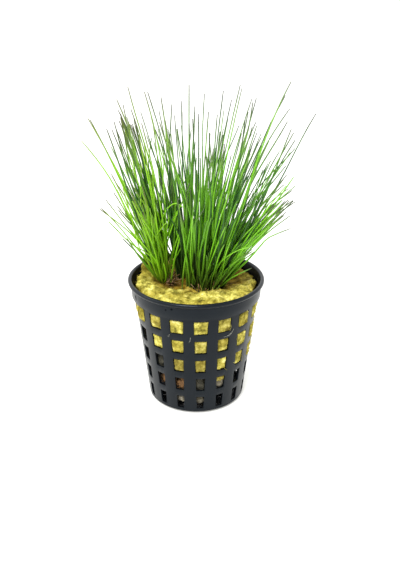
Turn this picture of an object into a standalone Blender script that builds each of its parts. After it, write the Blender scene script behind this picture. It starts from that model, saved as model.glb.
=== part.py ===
"""Dwarf hairgrass in its net pot: a moulded pot, a plug of mineral wool, matted roots and the tufts.

Sizes are millimetres; add_object() turns them to metres. +Z is up, the front of the pot faces -Y,
and the origin is the middle of the pot's underside.
"""

import math
import random

import bmesh
import bpy
import numpy as np
from mathutils import Vector

METRES = 0.001

# Net pot: a standard 5 cm basket, moulded in one piece
RIM_DIAMETER = 55.0
POT_HEIGHT = 52.5
WALL_FOOT_RADIUS = 19.82
WALL_FLARE = 0.1132
WALL_THICKNESS = 1.0
BASE_RADIUS = 18.7
BASE_CHAMFER = 0.9
FLOOR_THICKNESS = 1.3
COLLAR_BOTTOM = 45.6
COLLAR_FOOT_RADIUS = 26.1
COLLAR_TOP_RADIUS = 26.45
COLLAR_WALL = 1.25
LIP_HEIGHT = 1.7
LIP_WIDTH = 1.7
LIP_POINTS = 6
LIP_FIRST_ANGLE = math.radians(-40)
LIP_LAST_ANGLE = math.radians(180)
UNDER_LIP = 0.8
INNER_DRAFT = 0.2
STEP_ABOVE = 1.2
STEP_BELOW = 0.4

# Windows in the wall: five rows of sixteen, narrower towards the base
COLUMNS = 16
FIRST_COLUMN_TURN = math.radians(4.63)
TOP_ROW = 43.8
ROW_PITCH = 8.97
ROWS = 5
WINDOW_HEIGHT = 5.3
WINDOW_HALF_WIDTH_AT_FOOT = 1.06
WINDOW_SPREAD = 0.039
SLOT_INNER_RADIUS = 8.5
SLOT_OUTER_RADIUS = 16.2
SLOT_HALF_TURN = math.radians(3.6)

# Mineral wool plug and the roots under it
GAP = 0.35
WOOL_TURN_STEPS = 32
TROUGH_LEVEL = 48.4
TROUGH_CENTRE = (0.5, 3.5)
TROUGH_RADII = (17.5, 12.5)
CREST_STARTS = 0.75
CREST_WIDTH = 0.6
CREST_RISE = 3.0
LUMP_HEIGHT = 0.35
PEAK_AT = (-20.4, 9.3)
PEAK_RISE = 6.8
PEAK_SPREAD = 3.6
SAG_AT = (16.0, 14.0)
SAG_DEPTH = 0.9
SAG_SPREAD = 8.0
WOOL_BOTTOM = 14.0
WOOL_TILT = -0.115
WOOL_FOOT_RINGS = ((0.62, 0.0), (0.93, 0.5), (1.0, 2.2))
WOOL_WALL_HEIGHTS = (26.0, 36.0, 45.2)
WOOL_TOP_RINGS = ((0.995, 2.3), (1.0, 0.9), (0.93, 0.0), (0.79, 0.0), (0.6, 0.0), (0.34, 0.0))
WOOL_TOP_RADIUS = 24.4
SHRINK_LEFT = 1.1
SHRINK_RIGHT = 0.9
SHRUNK_LEFT_TURN = math.radians(-105)
SHRUNK_RIGHT_TURN = math.radians(112)
SHRUNK_SPREAD = 0.4
ROOT_DEPTH = 4.6
ROOT_RADIUS = 16.6
ROOT_CENTRE = (-2.4, -1.0)
ROOT_TURN_STEPS = 18
ROOT_RINGS = ((0.5, 1.0), (0.86, 0.86), (1.0, 0.5), (0.95, 0.12), (0.6, 0.0))

# Tufts: crowns packed in three stands, each crown with a fan of culms
STANDS = (
    {"centre": (-12.2, 0.8), "radii": (4.2, 6.8), "crowns": 18},
    {"centre": (-3.0, 9.6), "radii": (7.4, 4.6), "crowns": 20},
    {"centre": (5.0, -0.4), "radii": (6.8, 8.2), "crowns": 38},
)
CROWN_RADIUS = 0.9
CROWN_SPACING = 2.2
CROWN_CLEARS = 1.8
CROWN_HIGHEST = 51.6
FAN_CENTRE = (-1.6, 2.4)
FAN_GAIN = 0.034
CULM_RADII = (0.48, 0.42, 0.30)
CULM_CLEARANCE = 0.02
CULM_ABOVE_WOOL = 1.2
KNEE_SHARE = 0.42
INNER_TILT = (3.0, 9.0)
OUTER_TILT = (8.0, 15.0)
TURN_SWAY = 0.5
DROOP = 0.22
STEEPER = 0.22
NEIGHBOUR_SHARE = 0.88
SIBLING_SHARE = 0.75
LOW_TIP = 66.0
RULE_TIP = 120.0
HIGH_TIP = 126.0
DOME_DROP = 0.0075
PLUME_RADII = (43.0, 31.0)
SIDE_REACH = 20.0
SIDE_HEIGHT = 65.0
LEFT_SLOPE = 0.42
RIGHT_SLOPE = 0.62
SEED = 11
TRIES = 40
OUTER_CULM_CHANCE = 0.95
UPPER_FACE = 0.1
SIDE_FACE = 0.5
NEAREST_CROWNS = 8
NEAREST_SEATS = 4
OUTER_AIM = math.radians(9)

# Tips of the culms that give the plant its outline, front of the pot at -Y
REACHING_TIPS = (
    (-42.6, 0.0, 106.9), (-40.5, 6.0, 114.6), (-33.5, -12.0, 84.3), (-29.7, -16.0, 79.7),
    (-29.7, -10.0, 96.0), (-30.2, 4.0, 105.0), (-27.3, -8.0, 116.4), (-29.1, 3.0, 122.0),
    (-25.0, -14.0, 123.2), (-25.3, 8.0, 125.8), (-24.9, 12.0, 116.8), (-18.1, -6.0, 126.2),
    (-18.1, 10.0, 123.5), (-18.5, -18.0, 117.6), (-13.7, -20.0, 115.9), (-18.0, 16.0, 116.3),
    (-12.4, -4.0, 124.0), (-10.5, -15.0, 118.0), (-8.2, 14.0, 113.9), (-2.4, 2.0, 127.4),
    (-0.2, -12.0, 122.3), (-0.9, -22.0, 120.0), (1.9, 8.0, 123.3), (4.5, -16.0, 121.1),
    (8.2, 18.0, 113.5), (9.9, -4.0, 126.3), (13.5, 10.0, 120.7), (16.1, 0.0, 127.7),
    (17.5, 14.0, 124.2), (20.1, -10.0, 123.3), (22.5, 6.0, 121.9), (26.3, -14.0, 117.2),
    (25.6, -18.0, 108.8), (33.5, 8.0, 122.6), (34.4, 0.0, 128.9), (35.8, 12.0, 116.9),
    (32.9, -8.0, 116.2), (44.1, 0.0, 117.4), (40.1, -8.0, 95.6), (37.1, -14.0, 89.4),
    (30.6, -16.0, 95.3), (-22.0, 30.0, 112.0), (-6.0, 33.0, 116.0), (12.0, 34.0, 112.0),
    (27.0, 28.0, 110.0), (-34.0, 20.0, 104.0), (38.0, 22.0, 101.0), (6.0, -25.0, 108.0),
    (31.5, -12.0, 86.0), (27.0, -17.0, 78.5), (24.0, -12.0, 75.0), (33.0, -2.0, 92.0),
)


def clear_scene():
    for old in list(bpy.data.objects):
        bpy.data.objects.remove(old, do_unlink=True)


def material(name, colour, roughness, metallic=0.0):
    made = bpy.data.materials.new(name)
    made.use_nodes = True
    shader = made.node_tree.nodes["Principled BSDF"]
    shader.inputs["Base Color"].default_value = (*colour, 1.0)
    shader.inputs["Roughness"].default_value = roughness
    shader.inputs["Metallic"].default_value = metallic
    return made


def add_object(name, shape, finish, crease=math.radians(40)):
    """Turns a bmesh in millimetres into a named object in metres, faces out and shaded smooth."""
    bmesh.ops.recalc_face_normals(shape, faces=shape.faces)
    bmesh.ops.scale(shape, vec=(METRES,) * 3, verts=shape.verts)
    mesh = bpy.data.meshes.new(name)
    shape.to_mesh(mesh)
    shape.free()
    mesh.shade_smooth()
    mesh.set_sharp_from_angle(angle=crease)
    mesh.materials.append(finish)
    made = bpy.data.objects.new(name, mesh)
    bpy.context.scene.collection.objects.link(made)
    return made


def around(radius, turn, height):
    """The point at a turn from the front of the pot, towards +X."""
    return Vector((radius * math.sin(turn), -radius * math.cos(turn), height))


def wall_radius(height):
    return WALL_FOOT_RADIUS + WALL_FLARE * height


def window_edges():
    """The heights of all window edges, lowest first."""
    tops = [TOP_ROW - ROW_PITCH * row for row in range(ROWS)]
    return sorted(tops + [top - WINDOW_HEIGHT for top in tops])


def pot_profile():
    """The rings from under the hub, over the lip and down to the floor: (radius, height, half turn)."""
    even = math.pi / (2 * COLUMNS)
    rings = [
        (SLOT_INNER_RADIUS, 0.0, SLOT_HALF_TURN),
        (SLOT_OUTER_RADIUS, 0.0, SLOT_HALF_TURN),
        (BASE_RADIUS, 0.0, SLOT_HALF_TURN),
        (wall_radius(BASE_CHAMFER), BASE_CHAMFER, SLOT_HALF_TURN),
    ]
    windows = []
    for height in window_edges():
        half_width = WINDOW_HALF_WIDTH_AT_FOOT + WINDOW_SPREAD * height
        windows.append((height, half_width / wall_radius(height)))
    rings += [(wall_radius(height), height, half) for height, half in windows]
    rings += [
        (wall_radius(COLLAR_BOTTOM), COLLAR_BOTTOM, even),
        (COLLAR_FOOT_RADIUS, COLLAR_BOTTOM, even),
        (COLLAR_TOP_RADIUS, POT_HEIGHT - LIP_HEIGHT, even),
    ]
    lip_middle = RIM_DIAMETER / 2 - LIP_WIDTH / 2
    for point in range(LIP_POINTS):
        share = point / (LIP_POINTS - 1)
        angle = LIP_FIRST_ANGLE + share * (LIP_LAST_ANGLE - LIP_FIRST_ANGLE)
        rings.append(
            (
                lip_middle + LIP_WIDTH / 2 * math.cos(angle),
                POT_HEIGHT - LIP_HEIGHT / 2 + LIP_HEIGHT / 2 * math.sin(angle),
                even,
            )
        )
    rings += [
        (COLLAR_FOOT_RADIUS - COLLAR_WALL + INNER_DRAFT, POT_HEIGHT - LIP_HEIGHT - UNDER_LIP, even),
        (COLLAR_FOOT_RADIUS - COLLAR_WALL, COLLAR_BOTTOM + STEP_ABOVE, even),
        (wall_radius(COLLAR_BOTTOM) - WALL_THICKNESS, COLLAR_BOTTOM - STEP_BELOW, even),
    ]
    for height, half in reversed(windows):
        rings.append((wall_radius(height) - WALL_THICKNESS, height, half))
    rings += [
        (wall_radius(FLOOR_THICKNESS) - WALL_THICKNESS, FLOOR_THICKNESS, SLOT_HALF_TURN),
        (SLOT_OUTER_RADIUS, FLOOR_THICKNESS, SLOT_HALF_TURN),
        (SLOT_INNER_RADIUS, FLOOR_THICKNESS, SLOT_HALF_TURN),
    ]
    return rings


def net_pot():
    """One closed skin of rings: windows and floor slots are left out and joined through the wall."""
    shape = bmesh.new()
    rings = pot_profile()
    grid = []
    for radius, height, half in rings:
        ring = []
        for column in range(COLUMNS):
            middle = FIRST_COLUMN_TURN + math.tau * column / COLUMNS
            ring += [shape.verts.new(around(radius, middle + side * half, height)) for side in (-1, 1)]
        grid.append(ring)

    last = len(rings) - 1
    first_window = [height for _, height, _ in rings].index(window_edges()[0])
    open_bands = {0: last - 1}
    for row in range(ROWS):
        outer_band = first_window + 2 * row
        open_bands[outer_band] = last - outer_band
    inner_bands = set(open_bands.values())

    steps = 2 * COLUMNS
    for band in range(last):
        for step in range(steps):
            in_window = step % 2 == 0
            if in_window and (band in open_bands or band in inner_bands):
                continue
            after = (step + 1) % steps
            low, high = grid[band], grid[band + 1]
            shape.faces.new((low[step], low[after], high[after], high[step]))
    for outer, inner in open_bands.items():
        for step in range(0, steps, 2):
            low, high = grid[outer], grid[outer + 1]
            outside = [low[step], low[step + 1], high[step + 1], high[step]]
            low, high = grid[inner + 1], grid[inner]
            inside = [low[step], low[step + 1], high[step + 1], high[step]]
            for corner in range(4):
                after = (corner + 1) % 4
                shape.faces.new((outside[corner], outside[after], inside[after], inside[corner]))
    shape.faces.new(grid[0])
    shape.faces.new(grid[-1])
    return shape


def bump(distance, spread):
    return math.exp(-0.5 * (distance / spread) ** 2)


def wool_top(x, y):
    """Height of the wool: a trough round the crowns, a raised ring, a peak and a sag."""
    across = math.hypot(
        (x - TROUGH_CENTRE[0]) / TROUGH_RADII[0],
        (y - TROUGH_CENTRE[1]) / TROUGH_RADII[1],
    )
    rise = CREST_RISE * min(1.0, max(0.0, (across - CREST_STARTS) / CREST_WIDTH)) ** 1.2
    peak = PEAK_RISE * bump(math.hypot(x - PEAK_AT[0], y - PEAK_AT[1]), PEAK_SPREAD)
    sag = SAG_DEPTH * bump(math.hypot(x - SAG_AT[0], y - SAG_AT[1]), SAG_SPREAD)
    lumps = math.sin(0.55 * x + 1.0) * math.cos(0.5 * y) + 0.6 * math.sin(0.9 * x - 0.7 * y)
    return TROUGH_LEVEL + rise + peak - sag + LUMP_HEIGHT * lumps


def highest_wool(x, y):
    """The highest wool under a crown, which keeps clear of the slope beside it."""
    beside = ((0, 0), (1, 0), (-1, 0), (0, 1), (0, -1))
    return max(wool_top(x + CROWN_CLEARS * dx, y + CROWN_CLEARS * dy) for dx, dy in beside)


def wool_edge(turn):
    """How far the top of the wool has shrunk from the wall, most at the left and behind right."""
    left = SHRINK_LEFT * bump(math.remainder(turn - SHRUNK_LEFT_TURN, math.tau), SHRUNK_SPREAD)
    right = SHRINK_RIGHT * bump(math.remainder(turn - SHRUNK_RIGHT_TURN, math.tau), SHRUNK_SPREAD)
    return left + right


def wool_bottom(x):
    return WOOL_BOTTOM + WOOL_TILT * x


def lathe_like(shape, rings, bottom, top):
    """Joins rings of points, lowest first, and closes them with fans to a bottom and a top point."""
    rows = [[shape.verts.new(point) for point in ring] for ring in rings]
    count = len(rows[0])
    for low, high in zip(rows, rows[1:]):
        for step in range(count):
            after = (step + 1) % count
            shape.faces.new((low[step], low[after], high[after], high[step]))
    for ring, end in ((rows[0], bottom), (rows[-1], top)):
        middle = shape.verts.new(end)
        for step in range(count):
            shape.faces.new((ring[step], ring[(step + 1) % count], middle))


def rock_wool():
    """The plug fills the pot from the roots to the rim, and clears the wall by a small gap."""
    shape = bmesh.new()
    turns = [math.tau * step / WOOL_TURN_STEPS for step in range(WOOL_TURN_STEPS)]
    rings = []
    for share, lift in WOOL_FOOT_RINGS:
        ring = []
        for turn in turns:
            radius = share * (wall_radius(WOOL_BOTTOM) - WALL_THICKNESS - GAP)
            point = around(radius, turn, 0.0)
            ring.append(Vector((point.x, point.y, wool_bottom(point.x) + lift)))
        rings.append(ring)
    for height in WOOL_WALL_HEIGHTS:
        radius = wall_radius(height) - WALL_THICKNESS - GAP
        rings.append([around(radius, turn, height) for turn in turns])
    for share, drop in WOOL_TOP_RINGS:
        ring = []
        for turn in turns:
            radius = share * (WOOL_TOP_RADIUS - wool_edge(turn))
            point = around(radius, turn, 0.0)
            ring.append(Vector((point.x, point.y, wool_top(point.x, point.y) - drop)))
        rings.append(ring)
    lathe_like(shape, rings, (0.0, 0.0, wool_bottom(0.0)), (0.0, 0.0, wool_top(0.0, 0.0)))
    return shape


def root_mat():
    """Roots that have grown out under the plug: an uneven cake that follows its underside."""
    shape = bmesh.new()
    rings = []
    for share, depth in ROOT_RINGS:
        ring = []
        for step in range(ROOT_TURN_STEPS):
            turn = math.tau * step / ROOT_TURN_STEPS
            radius = ROOT_RADIUS * share * (1.0 + 0.035 * math.sin(3 * turn + 0.6))
            x = ROOT_CENTRE[0] + radius * math.sin(turn)
            y = ROOT_CENTRE[1] - radius * math.cos(turn)
            sagging = 1.0 + 0.14 * math.sin(2 * turn + 1.1) + 0.1 * math.sin(5 * turn)
            ring.append(Vector((x, y, wool_bottom(x) - GAP - ROOT_DEPTH * depth * sagging)))
        rings.append(ring)
    under = wool_bottom(ROOT_CENTRE[0]) - GAP
    lathe_like(shape, rings, (*ROOT_CENTRE, under - ROOT_DEPTH), (*ROOT_CENTRE, under))
    return shape


def crown_places():
    """Crown centres: a sunflower spiral fills each stand, and a place too near another is dropped."""
    places = []
    for stand in STANDS:
        for index in range(stand["crowns"]):
            reach = math.sqrt((index + 0.5) / stand["crowns"])
            turn = index * math.pi * (3 - math.sqrt(5))
            x = stand["centre"][0] + stand["radii"][0] * reach * math.cos(turn)
            y = stand["centre"][1] + stand["radii"][1] * reach * math.sin(turn)
            height = highest_wool(x, y) + CROWN_RADIUS + GAP
            clear = all(math.dist((x, y), place[:2]) > CROWN_SPACING for place in places)
            if clear and height < CROWN_HIGHEST:
                places.append((x, y, height))
    return places


def fan_axis(x, y):
    """The direction in which the plant fans out above a place on the wool."""
    return Vector((FAN_GAIN * (x - FAN_CENTRE[0]), FAN_GAIN * (y - FAN_CENTRE[1]), 1.0)).normalized()


def segment_gaps(start_a, end_a, start_b, end_b):
    """Least distances between one segment and many, as an array."""
    along_a = end_a - start_a
    along_b = end_b - start_b
    between = start_a - start_b
    aa = max(along_a @ along_a, 1e-12)
    bb = np.maximum((along_b * along_b).sum(axis=1), 1e-12)
    ab = along_b @ along_a
    ac = between @ along_a
    bc = (between * along_b).sum(axis=1)
    spread = aa * bb - ab * ab
    s = np.clip((ab * bc - ac * bb) / np.maximum(spread, 1e-9), 0, 1)
    s = np.where(spread > 1e-9, s, np.clip(-ac / aa, 0, 1))
    t = (ab * s + bc) / bb
    t_held = np.clip(t, 0, 1)
    s = np.where(t != t_held, np.clip((t_held * ab - ac) / aa, 0, 1), s)
    nearest = between + s[:, None] * along_a - t_held[:, None] * along_b
    return np.sqrt((nearest * nearest).sum(axis=1))


class Growth:
    """What has grown so far, so that a new culm can be kept clear of it."""

    def __init__(self, crowns):
        self.starts = [np.array(place) for place in crowns]
        self.ends = [np.array(place) for place in crowns]
        self.radii = [CROWN_RADIUS] * len(crowns)
        self.owners = list(range(len(crowns)))

    def is_clear(self, points, crown):
        starts, ends = np.array(self.starts), np.array(self.ends)
        radii, owners = np.array(self.radii), np.array(self.owners)
        for part, radius in enumerate(CULM_RADII):
            start, end = np.array(points[part]), np.array(points[part + 1])
            others = owners != crown
            gaps = segment_gaps(start, end, starts[others], ends[others])
            if len(gaps) and (gaps < NEIGHBOUR_SHARE * (radii[others] + radius) + CULM_CLEARANCE).any():
                return False
            siblings = (owners == crown) & (radii != CROWN_RADIUS)
            if part == 0:
                start = start + 0.3 * (end - start)
            gaps = segment_gaps(start, end, starts[siblings], ends[siblings])
            if len(gaps) and (gaps < SIBLING_SHARE * (radii[siblings] + radius)).any():
                return False
        return True

    def add(self, points, crown):
        for part, radius in enumerate(CULM_RADII):
            self.starts.append(np.array(points[part]))
            self.ends.append(np.array(points[part + 1]))
            self.radii.append(radius)
            self.owners.append(crown)


def culm_points(root, heading, tip):
    """Four points on the curve that leaves the crown along heading and bends over to the tip."""
    knee = root + heading * (KNEE_SHARE * (tip - root).length)
    points = []
    for step in range(4):
        t = step / 3
        points.append(root * (1 - t) ** 2 + knee * (2 * t * (1 - t)) + tip * t**2)
    return points


def above_wool(points):
    """Whether the lowest third of a culm stays above the wool wherever it passes over the pot."""
    looks = 6
    for step in range(1, looks + 1):
        point = points[0].lerp(points[1], step / looks)
        inside = math.hypot(point.x, point.y) < RIM_DIAMETER / 2
        if inside and point.z < max(wool_top(point.x, point.y), TROUGH_LEVEL) + CULM_ABOVE_WOOL:
            return False
    return True


def crown_mesh(place):
    """A twenty-sided crown turned to the fan's axis, and its ten upper faces with their own turns."""
    shape = bmesh.new()
    bmesh.ops.create_icosphere(shape, subdivisions=1, radius=CROWN_RADIUS)
    axis = fan_axis(place[0], place[1])
    turn = Vector((0, 0, 1)).rotation_difference(axis).to_matrix()
    shape.normal_update()
    seats = []
    for face in shape.faces:
        if face.normal.z < UPPER_FACE:
            continue
        middle = face.calc_center_median()
        seats.append((face, math.atan2(middle.y, middle.x), face.normal.z < SIDE_FACE))
    for vert in shape.verts:
        vert.co = turn @ vert.co + Vector(place)
    shape.normal_update()
    return shape, axis, seats


def tilted(axis, turn, tilt):
    """The axis leaned by tilt towards turn, which is measured round it from +X."""
    lean = Vector((math.cos(turn), math.sin(turn), 0.0))
    lean = (lean - axis * lean.dot(axis)).normalized()
    return (axis * math.cos(tilt) + lean * math.sin(tilt)).normalized()


def rule_culm(rng, root, axis, turn, outer, ease):
    """A culm by the rule: it leans out from its crown's axis, and less the more ease it needs."""
    tilt = math.radians(rng.uniform(*(OUTER_TILT if outer else INNER_TILT))) * (1 - 0.6 * ease)
    heading = tilted(axis, turn + rng.uniform(-TURN_SWAY, TURN_SWAY), tilt)
    reach = LOW_TIP + (RULE_TIP - LOW_TIP) * rng.random() ** 0.9 * (1 - 0.5 * ease)
    length = (reach - root.z) / heading.z
    droop = Vector((heading.x, heading.y, 0.0)) * rng.uniform(0.0, DROOP)
    tip = root + (heading + droop).normalized() * length
    return culm_points(root, heading, tip)


def in_plume(tip):
    """Whether a tip is inside the plume: an ellipse from above, with sloping sides and a dome."""
    x, y = tip.x - FAN_CENTRE[0], tip.y - FAN_CENTRE[1]
    domed = tip.z < HIGH_TIP - DOME_DROP * (x * x + y * y)
    above = tip.z - SIDE_HEIGHT
    beside = -SIDE_REACH - LEFT_SLOPE * above < tip.x < SIDE_REACH + RIGHT_SLOPE * above
    return domed and beside and math.hypot(x / PLUME_RADII[0], y / PLUME_RADII[1]) < 1


def reaching_culm(root, tip):
    """A culm to a given tip, a little steeper at its root than straight."""
    straight = (tip - root).normalized()
    heading = (straight + Vector((-STEEPER * straight.x, -STEEPER * straight.y, 0.1))).normalized()
    return culm_points(root, heading, tip)


def grow(shape, face, points):
    """Draws a crown's face out along a culm's points, in three sides that narrow to its tip."""
    corners = list(face.verts)
    middle = face.calc_center_median()
    spokes = [corner.co - middle for corner in corners]
    normal = face.normal.copy()
    bmesh.ops.delete(shape, geom=[face], context="FACES_ONLY")
    ring = corners
    for part in (1, 2):
        along = (points[part + 1] - points[part - 1]).normalized()
        turn = normal.rotation_difference(along)
        centre = points[part]
        radius = CULM_RADII[part]
        wider = [shape.verts.new(centre + (turn @ spoke).normalized() * radius) for spoke in spokes]
        for side in range(3):
            after = (side + 1) % 3
            shape.faces.new((ring[side], ring[after], wider[after], wider[side]))
        ring = wider
    tip = shape.verts.new(points[3])
    for side in range(3):
        shape.faces.new((ring[side], ring[(side + 1) % 3], tip))


def place_reaching(crowns, seats_of, growth):
    """Gives each reaching tip the nearest free seat under it that grows clear of the rest."""
    culms = {}
    for tip in map(Vector, REACHING_TIPS):
        spread = 1 + FAN_GAIN * (tip.z - TROUGH_LEVEL)
        under = [FAN_CENTRE[axis] + (tip[axis] - FAN_CENTRE[axis]) / spread for axis in (0, 1)]
        nearest = sorted(range(len(crowns)), key=lambda crown: math.dist(crowns[crown][:2], under))
        done = False
        for crown in nearest[:NEAREST_CROWNS]:
            axis, seats = seats_of[crown]
            aim = (tip - Vector(crowns[crown])).normalized()
            aim_turn = math.atan2(aim.y - axis.y, aim.x - axis.x)
            outer = axis.angle(aim) > OUTER_AIM
            ranked = sorted(
                seats,
                key=lambda seat: abs(math.remainder(seat[1] - aim_turn, math.tau)) + (seat[2] != outer),
            )
            for seat in ranked[:NEAREST_SEATS]:
                key = (crown, seat[0])
                points = reaching_culm(seat[3], tip)
                if key in culms or not above_wool(points) or not growth.is_clear(points, crown):
                    continue
                culms[key] = points
                growth.add(points, crown)
                done = True
                break
            if done:
                break
    return culms


def tufts():
    """Every tuft as (crown mesh, its culms): first the reaching culms, then the rule fills the rest."""
    crowns = crown_places()
    meshes = [crown_mesh(place) for place in crowns]
    seats_of = []
    for shape, axis, seats in meshes:
        rows = [
            (index, turn, outer, face.calc_center_median().copy())
            for index, (face, turn, outer) in enumerate(seats)
        ]
        seats_of.append((axis, rows))
    growth = Growth(crowns)
    culms = place_reaching(crowns, seats_of, growth)
    rng = random.Random(SEED)
    for outer_round in (False, True):
        for crown, (axis, rows) in enumerate(seats_of):
            for index, turn, outer, root in rows:
                if outer != outer_round or (crown, index) in culms:
                    continue
                if outer and rng.random() > OUTER_CULM_CHANCE:
                    continue
                for attempt in range(TRIES):
                    points = rule_culm(rng, root, axis, turn, outer, attempt / TRIES)
                    if in_plume(points[3]) and above_wool(points) and growth.is_clear(points, crown):
                        culms[(crown, index)] = points
                        growth.add(points, crown)
                        break
    for (crown, index), points in sorted(culms.items()):
        shape, _, seats = meshes[crown]
        grow(shape, seats[index][0], points)
    return [shape for shape, _, _ in meshes], len(culms)


def main():
    clear_scene()
    plastic = material("moulded black polypropylene", (0.022, 0.026, 0.032), 0.42)
    wool = material("yellow mineral wool", (0.62, 0.52, 0.13), 0.95)
    roots = material("matted brown roots", (0.23, 0.09, 0.02), 0.9)
    add_object("net_pot", net_pot(), plastic, math.radians(35))
    add_object("rock_wool", rock_wool(), wool)
    add_object("root_mat", root_mat(), roots)
    shapes, culm_count = tufts()
    for number, shape in enumerate(shapes, 1):
        green = (0.10 + 0.05 * (number % 3), 0.30 + 0.04 * (number % 4), 0.02)
        add_object(f"tuft_{number:02d}", shape, material(f"green culms {number:02d}", green, 0.5))
    print(len(shapes), "tufts,", culm_count, "culms")


main()
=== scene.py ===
# %% [markdown]
# Potted dwarf hairgrass
#
# A small aquarium plant as a shop sells it: a net pot of dark plastic, a plug of yellow mineral wool,
# brown roots under the plug, and a fan of several hundred thin green culms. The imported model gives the
# true sizes. It is loaded first, and every piece below takes its place from it.

# %% Load the frame
import math
import random

import bmesh
import bpy
from mathutils import Matrix, Vector, noise
from mathutils.bvhtree import BVHTree


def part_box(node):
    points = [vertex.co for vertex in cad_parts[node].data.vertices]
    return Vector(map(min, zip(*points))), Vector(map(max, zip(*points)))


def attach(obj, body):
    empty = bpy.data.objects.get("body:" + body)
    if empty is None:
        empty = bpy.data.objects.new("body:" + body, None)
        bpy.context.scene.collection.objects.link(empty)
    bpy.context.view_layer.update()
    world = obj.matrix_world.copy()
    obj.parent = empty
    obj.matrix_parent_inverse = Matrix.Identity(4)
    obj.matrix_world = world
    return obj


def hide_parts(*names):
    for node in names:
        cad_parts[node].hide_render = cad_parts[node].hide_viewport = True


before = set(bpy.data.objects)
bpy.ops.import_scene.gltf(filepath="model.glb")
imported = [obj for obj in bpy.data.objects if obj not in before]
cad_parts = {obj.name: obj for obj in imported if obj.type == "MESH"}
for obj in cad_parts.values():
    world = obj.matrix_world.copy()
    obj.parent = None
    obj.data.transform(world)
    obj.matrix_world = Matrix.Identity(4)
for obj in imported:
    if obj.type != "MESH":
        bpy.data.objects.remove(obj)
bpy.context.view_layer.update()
MM = 0.001

# %% [markdown]
# Small tools
#
# A colour is easiest to read as the hex value that a colour picker shows. Blender's sockets want linear
# light, so one function turns one into the other. A second function adds a node to any tree: it sets
# the node's own settings, then fills its sockets with values or links. Two more give patterns a real
# size: grain is noise with features of a given width, and relief presses it into a surface.


# %% Colour and nodes
BLEND = {"data_type": "RGBA"}
TINT = {"data_type": "RGBA", "blend_type": "MULTIPLY"}


def linear(hex_colour):
    parts = [int(hex_colour[at:at + 2], 16) / 255 for at in (1, 3, 5)]
    return tuple(p / 12.92 if p <= 0.04045 else ((p + 0.055) / 1.055) ** 2.4 for p in parts) + (1.0,)


def paint(bar, stops):
    """Fills the bar of a colour ramp from (position, hex colour) stops."""
    while len(bar) < len(stops):
        bar.new(0.5)
    for element, (position, hex_colour) in zip(bar, stops):
        element.position = position
        element.color = linear(hex_colour)


def add(tree, kind, settings=None, **sockets):
    """Adds a node. A socket is named like its label, with _ for a space, or in0, in1 by its place."""
    node = tree.nodes.new(kind)
    for name, value in (settings or {}).items():
        if name == "stops":
            paint(node.color_ramp.elements, value)
        else:
            setattr(node, name, value)
    for name, value in sockets.items():
        if name[:2] == "in" and name[2:].isdigit():
            socket = node.inputs[int(name[2:])]
        else:
            socket = node.inputs[name.replace("_", " ")]
        if isinstance(value, bpy.types.NodeSocket):
            tree.links.new(value, socket)
        else:
            socket.default_value = value
    return node


def new_material(name):
    made = bpy.data.materials.new(name)
    made.use_nodes = True
    return made, made.node_tree, made.node_tree.nodes["Principled BSDF"]


def grain(tree, size, detail=4.0, **more):
    """Noise with features of a real size in metres, on Object coordinates."""
    place = add(tree, "ShaderNodeTexCoord").outputs["Object"]
    noisy = add(tree, "ShaderNodeTexNoise", Vector=place, Scale=1 / size, Detail=detail, **more)
    return noisy.outputs["Fac"]


def relief(tree, shader, size, depth, strength, detail=4.0, **more):
    """Presses grain of a real size and depth into a surface."""
    height = grain(tree, size, detail, **more)
    bump = add(tree, "ShaderNodeBump", Height=height, Distance=depth, Strength=strength)
    tree.links.new(bump.outputs["Normal"], shader.inputs["Normal"])


def make_object(name, shape, material):
    """A bmesh as a named object at the origin, smooth shaded."""
    mesh = bpy.data.meshes.new(name)
    shape.to_mesh(mesh)
    shape.free()
    mesh.shade_smooth()
    mesh.materials.append(material)
    made = bpy.data.objects.new(name, mesh)
    bpy.context.scene.collection.objects.link(made)
    return made


def apply_modifiers(piece):
    """Turns a piece with modifiers into a plain mesh."""
    graph = bpy.context.evaluated_depsgraph_get()
    mesh = bpy.data.meshes.new_from_object(piece.evaluated_get(graph))
    piece.modifiers.clear()
    old = piece.data
    piece.data = mesh
    mesh.name = piece.name
    bpy.data.meshes.remove(old)
    print(piece.name, len(mesh.polygons), "faces")
    return piece


# %% [markdown]
# The camera
#
# The pot's ellipses and its grid of windows fix the camera: it looks down at 24 degrees from nearly
# 0.3 m, a little right of the pot's middle. The lens value belongs to a 36 mm sensor set upright.

# %% Camera
CAMERA_TILT = math.radians(24.43)
CAMERA_DISTANCE = 294.6 * MM
CAMERA_TARGET = Vector((1.57, 0.0, 48.4)) * MM
LENS = 45.85

camera_data = bpy.data.cameras.new("camera")
camera_data.sensor_fit = "VERTICAL"
camera_data.sensor_height = 36.0
camera_data.lens = LENS
camera = bpy.data.objects.new("camera", camera_data)
back = Vector((0.0, -math.cos(CAMERA_TILT), math.sin(CAMERA_TILT)))
camera.location = CAMERA_TARGET + CAMERA_DISTANCE * back
camera.rotation_euler = (math.pi / 2 - CAMERA_TILT, 0.0, 0.0)
bpy.context.scene.collection.objects.link(camera)
bpy.context.scene.camera = camera
print("camera stands at", [round(value, 4) for value in camera.location])

# %% [markdown]
# The net pot
#
# The real pot is one moulding of polypropylene. A turned profile gives the wall, the collar, the lip and
# the floor, and the windows are gaps in the skin between two of its rings. That gives clean four-sided
# faces, so a small bevel can round every window the way a mould does. The windows are a little larger
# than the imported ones, because the photograph shows them so.

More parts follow.
